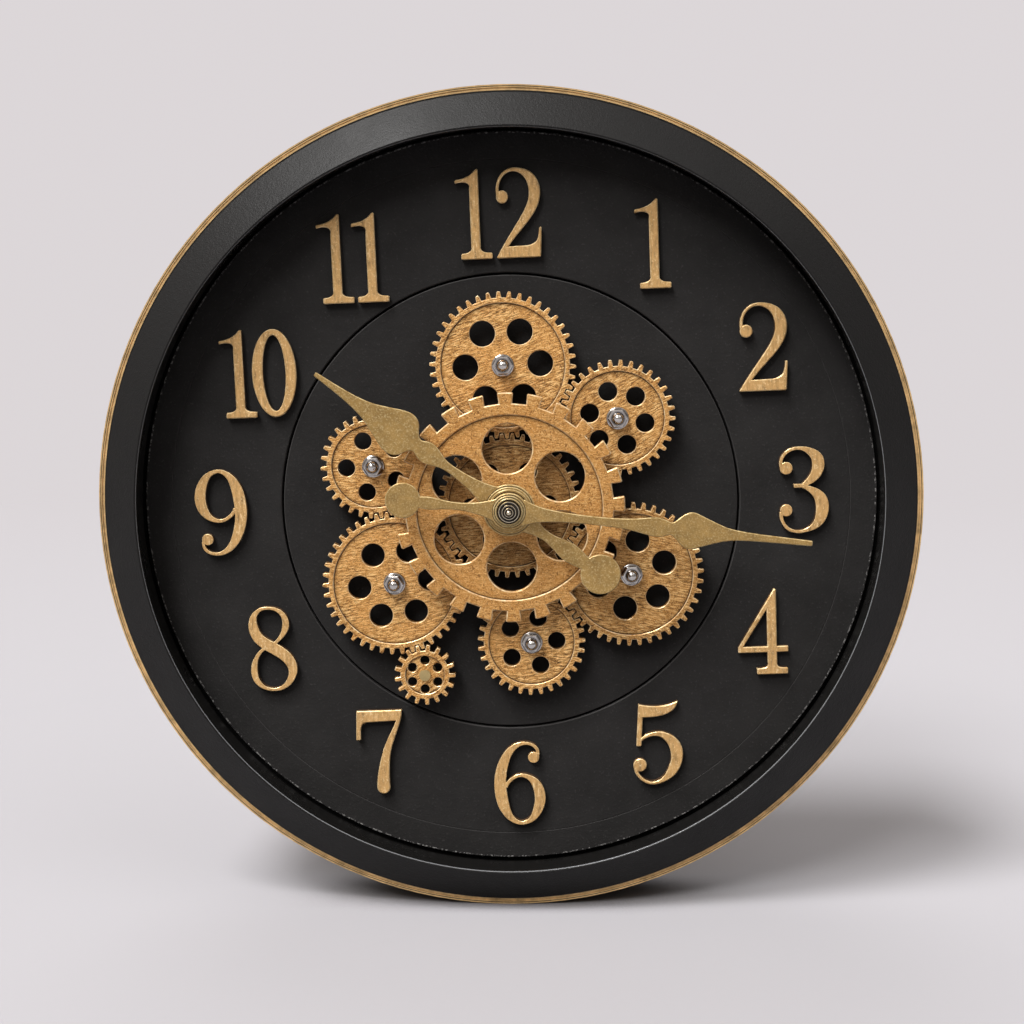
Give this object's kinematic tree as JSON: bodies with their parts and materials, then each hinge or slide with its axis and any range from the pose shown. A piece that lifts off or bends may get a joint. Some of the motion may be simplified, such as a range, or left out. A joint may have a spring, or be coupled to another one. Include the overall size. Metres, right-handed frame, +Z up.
{
  "type": "gear wall clock",
  "caption": "Round open-face clock with raised numerals, spade hands and a train of turning wooden gears in a deep black case with a gold rim; it stands or hangs.",
  "frame": {"origin": "on the surface the clock stands on, under the middle of its bounding box", "axes": "+Z up, the dial looks along -Y, +X to the right of someone who reads the dial"},
  "size_m": [0.33, 0.061, 0.33],
  "materials": {
    "bezel_black": "satin",
    "ring_black": "gloss",
    "trim_gold": "satin",
    "dial_black": "matte paint",
    "board_brown": "raw fibreboard",
    "case_black": "matte",
    "cover_brown": "hardboard",
    "screw_steel": "zinc plated",
    "hanger_steel": "plated",
    "foot_rubber": "matte",
    "numeral_gold": "stained",
    "gear_oak": "stained and lacquered",
    "post_chrome": "polished",
    "neck_brass": "turned",
    "hand_gold": "rough metallic paint",
    "arbor_steel": "turned",
    "nut_brass": "turned",
    "module_black": "moulded",
    "lid_grey": "moulded",
    "wheel_white": "moulded",
    "knob_grey": "moulded",
    "motor_steel": "drawn",
    "cell_metal": "plain sleeve",
    "contact_nickel": "nickel plated",
    "switch_white": "moulded"
  },
  "bodies": {
    "case": {"front_bezel": "bezel_black", "trim_ring": "trim_gold", "retaining_ring": "ring_black", "dial_ring": "dial_black", "gear_plate": "dial_black", "carrier_board": "board_brown", "case_drum": "case_black", "back_cover": "cover_brown", "case_screws": "screw_steel", "wall_hanger": "hanger_steel", "rear_feet": "foot_rubber", "numeral_1": "numeral_gold", "numeral_2": "numeral_gold", "numeral_3": "numeral_gold", "numeral_4": "numeral_gold", "numeral_5": "numeral_gold", "numeral_6": "numeral_gold", "numeral_7": "numeral_gold", "numeral_8": "numeral_gold", "numeral_9": "numeral_gold", "numeral_10": "numeral_gold", "numeral_11": "numeral_gold", "numeral_12": "numeral_gold", "gear_posts": "post_chrome", "post_washers": "post_chrome", "post_nuts": "post_chrome", "neck_nut": "neck_brass", "neck_collar": "neck_brass", "movement_bush": "neck_brass", "movement_case": "module_black", "movement_lid": "lid_grey", "clock_cell": "cell_metal", "cell_contacts": "contact_nickel", "motor_case": "module_black", "motor_lid": "lid_grey", "drive_motor": "motor_steel", "motor_cell": "cell_metal"},
    "centre_wheels": {"sun_gear": "gear_oak", "coarse_gear": "gear_oak", "centre_sleeve": "neck_brass"},
    "top_drive": {"top_gear": "gear_oak", "drive_arbor": "post_chrome", "drive_wheel": "wheel_white", "drive_washer": "post_chrome", "drive_nut": "post_chrome"},
    "upper_right": {"upper_right_gear": "gear_oak"},
    "lower_right": {"lower_right_gear": "gear_oak"},
    "bottom": {"bottom_gear": "gear_oak"},
    "lower_left": {"lower_left_gear": "gear_oak"},
    "left": {"left_gear": "gear_oak"},
    "tiny": {"tiny_gear": "gear_oak"},
    "pinion": {"motor_pinion": "arbor_steel"},
    "minute": {"minute_hand": "hand_gold", "minute_arbor": "arbor_steel", "hand_nut": "nut_brass"},
    "hour": {"hour_hand": "hand_gold", "hour_wheel": "nut_brass"},
    "motion": {"motion_wheel": "wheel_white"},
    "setting": {"setting_knob": "knob_grey"},
    "switch": {"motor_switch": "switch_white"}
  },
  "joints": [
    {"name": "centre_spin", "type": "hinge", "parent": "case", "child": "centre_wheels", "pos_m": [0, 0, 0.165], "axis": [0, 1, 0], "continuous": true},
    {"name": "top_spin", "type": "hinge", "parent": "case", "child": "top_drive", "pos_m": [-0.00059, 0, 0.22119], "axis": [0, 1, 0], "continuous": true},
    {"name": "upper_right_spin", "type": "hinge", "parent": "case", "child": "upper_right", "pos_m": [0.0442, 0, 0.19857], "axis": [0, 1, 0], "continuous": true},
    {"name": "lower_right_spin", "type": "hinge", "parent": "case", "child": "lower_right", "pos_m": [0.04781, 0, 0.13547], "axis": [0, 1, 0], "continuous": true},
    {"name": "bottom_spin", "type": "hinge", "parent": "case", "child": "bottom", "pos_m": [0.00662, 0, 0.10923], "axis": [0, 1, 0], "continuous": true},
    {"name": "lower_left_spin", "type": "hinge", "parent": "case", "child": "lower_left", "pos_m": [-0.04771, 0, 0.1353], "axis": [0, 1, 0], "continuous": true},
    {"name": "left_spin", "type": "hinge", "parent": "case", "child": "left", "pos_m": [-0.054, 0, 0.18306], "axis": [0, 1, 0], "continuous": true},
    {"name": "tiny_spin", "type": "hinge", "parent": "case", "child": "tiny", "pos_m": [-0.03716, 0, 0.09727], "axis": [0, 1, 0], "continuous": true},
    {"name": "pinion_spin", "type": "hinge", "parent": "case", "child": "pinion", "pos_m": [-0.01559, 0, 0.22119], "axis": [0, 1, 0], "continuous": true},
    {"name": "minute_spin", "type": "hinge", "parent": "case", "child": "minute", "pos_m": [0, 0, 0.165], "axis": [0, 1, 0], "continuous": true},
    {"name": "hour_spin", "type": "hinge", "parent": "case", "child": "hour", "pos_m": [0, 0, 0.165], "axis": [0, 1, 0], "continuous": true},
    {"name": "motion_spin", "type": "hinge", "parent": "case", "child": "motion", "pos_m": [0, 0, 0.175], "axis": [0, 1, 0], "continuous": true},
    {"name": "setting_spin", "type": "hinge", "parent": "case", "child": "setting", "pos_m": [0, 0, 0.185], "axis": [0, 1, 0], "continuous": true},
    {"name": "switch_slide", "type": "slide", "parent": "case", "child": "switch", "axis": [1, 0, 0], "range_m": [0, 0.004]}
  ],
  "couplings": [
    {"joint": "top_spin", "follows": "centre_spin", "ratio": -1},
    {"joint": "upper_right_spin", "follows": "centre_spin", "ratio": 1.2727},
    {"joint": "lower_right_spin", "follows": "centre_spin", "ratio": -1},
    {"joint": "bottom_spin", "follows": "centre_spin", "ratio": 1.3548},
    {"joint": "lower_left_spin", "follows": "centre_spin", "ratio": -1},
    {"joint": "left_spin", "follows": "centre_spin", "ratio": 1.4},
    {"joint": "tiny_spin", "follows": "centre_spin", "ratio": 2.4706},
    {"joint": "pinion_spin", "follows": "centre_spin", "ratio": 4},
    {"joint": "motion_spin", "follows": "minute_spin", "ratio": -0.33333},
    {"joint": "hour_spin", "follows": "minute_spin", "ratio": 0.083333},
    {"joint": "setting_spin", "follows": "minute_spin", "ratio": 1}
  ]
}
